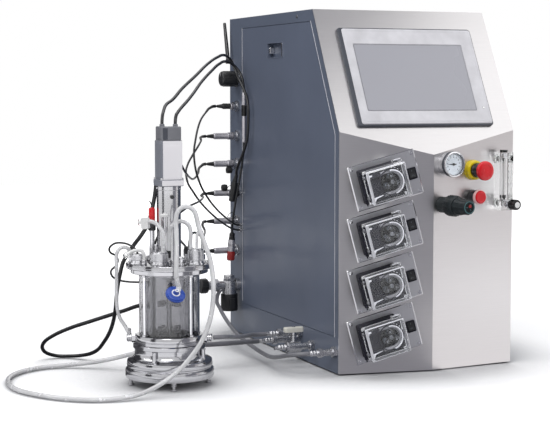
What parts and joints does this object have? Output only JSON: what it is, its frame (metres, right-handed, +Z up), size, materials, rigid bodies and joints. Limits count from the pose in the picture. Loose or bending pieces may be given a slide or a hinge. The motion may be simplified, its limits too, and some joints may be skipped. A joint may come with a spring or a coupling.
{
  "type": "bench bioreactor",
  "caption": "Bench bioreactor: a stirred jacketed glass vessel beside a control cabinet with tube pumps, touch panel and gas fittings, joined by cables and tubes.",
  "frame": {"origin": "on the bench, at the middle of the footprint of the cabinet and the vessel stand together", "axes": "+Z up, +Y to the back of the cabinet, +X to the right as a person facing the touch panel sees it; the vessel stands on the -X side"},
  "size_m": [1.0488, 0.759, 0.745],
  "materials": {
    "side_paint": "semi-gloss, fine",
    "stainless": "fine brushed, bright",
    "machined_steel": "turned",
    "polished_steel": "polished",
    "dark_metal": "satin",
    "motor_metal": "satin anodised",
    "zinc_metal": "plated",
    "black_plastic": "fine grain",
    "gloss_black": "smooth",
    "grey_plastic": "fine grain",
    "cream_plastic": "smooth",
    "red_plastic": "smooth",
    "yellow_plastic": "smooth",
    "blue_plastic": "smooth",
    "screen_glass": "anti-glare",
    "clear_plastic": "clear polycarbonate",
    "clear_glass": "clear borosilicate",
    "rubber_black": "matte",
    "cable_black": "smooth",
    "silicone_white": "translucent silicone"
  },
  "bodies": {
    "root": {"cabinet_shell": "side_paint", "front_panel": "stainless", "left_side_panel": "side_paint", "cabinet_feet": "rubber_black", "touch_panel_housing": "grey_plastic", "touch_screen": "screen_glass", "control_unit": "cream_plastic", "power_supply": "zinc_metal", "circulation_pump": "dark_metal", "pump_plates": "stainless", "pump_screws": "polished_steel", "pump_housings": "gloss_black", "pump_switch_frames": "gloss_black", "pump_motors": "dark_metal", "pump_tubes": "silicone_white", "gauge_case": "zinc_metal", "stop_body": "yellow_plastic", "push_button_body": "gloss_black", "regulator_body": "gloss_black", "flowmeter_body": "clear_plastic", "chassis_sockets": "zinc_metal", "cable_plugs": "black_plastic", "supply_valve": "dark_metal", "water_fittings": "machined_steel", "vessel_base": "machined_steel", "vessel_feet": "polished_steel", "glass_vessel": "clear_glass", "jacket_collar": "machined_steel", "tie_rods": "polished_steel", "head_plate": "machined_steel", "head_fittings": "machined_steel", "motor_column": "machined_steel", "stirrer_motor": "motor_metal", "baffle_cage": "machined_steel", "tube_filter": "blue_plastic", "black_cables": "cable_black", "silicone_tubes": "silicone_white"},
    "pump_rotor_1": {"pump_rotor_1": "motor_metal"},
    "pump_rotor_2": {"pump_rotor_2": "motor_metal"},
    "pump_rotor_3": {"pump_rotor_3": "motor_metal"},
    "pump_rotor_4": {"pump_rotor_4": "motor_metal"},
    "pump_cover_1": {"pump_cover_1": "clear_plastic"},
    "pump_cover_2": {"pump_cover_2": "clear_plastic"},
    "pump_cover_3": {"pump_cover_3": "clear_plastic"},
    "pump_cover_4": {"pump_cover_4": "clear_plastic"},
    "pump_switch_1": {"pump_switch_1": "black_plastic"},
    "pump_switch_2": {"pump_switch_2": "black_plastic"},
    "pump_switch_3": {"pump_switch_3": "black_plastic"},
    "pump_switch_4": {"pump_switch_4": "black_plastic"},
    "side_latch_catch": {"side_latch_catch": "polished_steel"},
    "gauge_needle": {"gauge_needle": "black_plastic"},
    "stop_button": {"stop_button": "red_plastic"},
    "push_button_cap": {"push_button_cap": "red_plastic"},
    "regulator_knob": {"regulator_knob": "gloss_black"},
    "flowmeter_knob": {"flowmeter_knob": "gloss_black"},
    "flowmeter_float": {"flowmeter_float": "black_plastic"},
    "antenna": {"antenna": "gloss_black"},
    "main_switch_knob": {"main_switch_knob": "gloss_black"},
    "water_valve_handle": {"water_valve_handle": "cream_plastic"},
    "agitator": {"agitator": "machined_steel"}
  },
  "joints": [
    {"name": "pump_rotor_1_spin", "type": "hinge", "parent": "root", "child": "pump_rotor_1", "pos_m": [0.10441, -0.30921, 0.39568], "axis": [-0.1289, -0.9917, 0], "continuous": true},
    {"name": "pump_rotor_2_spin", "type": "hinge", "parent": "root", "child": "pump_rotor_2", "pos_m": [0.10441, -0.30921, 0.29128], "axis": [-0.1289, -0.9917, 0], "continuous": true},
    {"name": "pump_rotor_3_spin", "type": "hinge", "parent": "root", "child": "pump_rotor_3", "pos_m": [0.10441, -0.30921, 0.18688], "axis": [-0.1289, -0.9917, 0], "continuous": true},
    {"name": "pump_rotor_4_spin", "type": "hinge", "parent": "root", "child": "pump_rotor_4", "pos_m": [0.10441, -0.30921, 0.08248], "axis": [-0.1289, -0.9917, 0], "continuous": true},
    {"name": "pump_cover_1_hinge", "type": "hinge", "parent": "root", "child": "pump_cover_1", "pos_m": [0.0479, -0.30186, 0.38041], "axis": [0.2567, -0.0334, -0.9659], "range_deg": [0, 100]},
    {"name": "pump_cover_2_hinge", "type": "hinge", "parent": "root", "child": "pump_cover_2", "pos_m": [0.0479, -0.30186, 0.27601], "axis": [0.2567, -0.0334, -0.9659], "range_deg": [0, 100]},
    {"name": "pump_cover_3_hinge", "type": "hinge", "parent": "root", "child": "pump_cover_3", "pos_m": [0.0479, -0.30186, 0.17161], "axis": [0.2567, -0.0334, -0.9659], "range_deg": [0, 100]},
    {"name": "pump_cover_4_hinge", "type": "hinge", "parent": "root", "child": "pump_cover_4", "pos_m": [0.0479, -0.30186, 0.06721], "axis": [0.2567, -0.0334, -0.9659], "range_deg": [0, 100]},
    {"name": "pump_switch_1_rock", "type": "hinge", "parent": "root", "child": "pump_switch_1", "pos_m": [0.16654, -0.27736, 0.40902], "axis": [0.9579, -0.1245, 0.2588], "range_deg": [0, 20]},
    {"name": "pump_switch_2_rock", "type": "hinge", "parent": "root", "child": "pump_switch_2", "pos_m": [0.16654, -0.27736, 0.30462], "axis": [0.9579, -0.1245, 0.2588], "range_deg": [0, 20]},
    {"name": "pump_switch_3_rock", "type": "hinge", "parent": "root", "child": "pump_switch_3", "pos_m": [0.16654, -0.27736, 0.20022], "axis": [0.9579, -0.1245, 0.2588], "range_deg": [0, 20]},
    {"name": "pump_switch_4_rock", "type": "hinge", "parent": "root", "child": "pump_switch_4", "pos_m": [0.16654, -0.27736, 0.09582], "axis": [0.9579, -0.1245, 0.2588], "range_deg": [0, 20]},
    {"name": "side_latch_slide", "type": "slide", "parent": "root", "child": "side_latch_catch", "axis": [0, -1, 0], "range_m": [0, 0.01]},
    {"name": "gauge_needle_turn", "type": "hinge", "parent": "root", "child": "gauge_needle", "pos_m": [0.25072, -0.29965, 0.427], "axis": [-0.1289, 0.9917, 0], "range_deg": [-45, 225], "stiffness_Nm_per_rad": 0.002},
    {"name": "stop_button_push", "type": "slide", "parent": "root", "child": "stop_button", "axis": [-0.1289, 0.9917, 0], "range_m": [0, 0.004]},
    {"name": "push_button_press", "type": "slide", "parent": "root", "child": "push_button_cap", "axis": [-0.1289, 0.9917, 0], "range_m": [0, 0.003], "stiffness_N_per_m": 400},
    {"name": "regulator_knob_turn", "type": "hinge", "parent": "root", "child": "regulator_knob", "pos_m": [0.24336, -0.35002, 0.344], "axis": [-0.1289, 0.9917, 0], "range_deg": [-360, 360]},
    {"name": "flowmeter_knob_turn", "type": "hinge", "parent": "root", "child": "flowmeter_knob", "pos_m": [0.38159, -0.31188, 0.342], "axis": [0.1289, -0.9917, 0], "range_deg": [0, 1080]},
    {"name": "flowmeter_float_rise", "type": "slide", "parent": "root", "child": "flowmeter_float", "axis": [0, 0, 1], "range_m": [0, 0.076]},
    {"name": "antenna_swivel", "type": "hinge", "parent": "root", "child": "antenna", "pos_m": [0.0005, 0.35481, 0.645], "axis": [-1, 0, 0], "range_deg": [-15, 75]},
    {"name": "main_switch_turn", "type": "hinge", "parent": "root", "child": "main_switch_knob", "pos_m": [-0.0055, 0.32081, 0.604], "axis": [1, 0, 0], "range_deg": [0, 90]},
    {"name": "water_valve_turn", "type": "hinge", "parent": "root", "child": "water_valve_handle", "pos_m": [-0.0305, -0.12719, 0.078], "axis": [0, 0, 1], "range_deg": [0, 90]},
    {"name": "agitator_spin", "type": "hinge", "parent": "root", "child": "agitator", "pos_m": [-0.3275, -0.20519, 0.2], "axis": [0, 0, 1], "continuous": true}
  ]
}
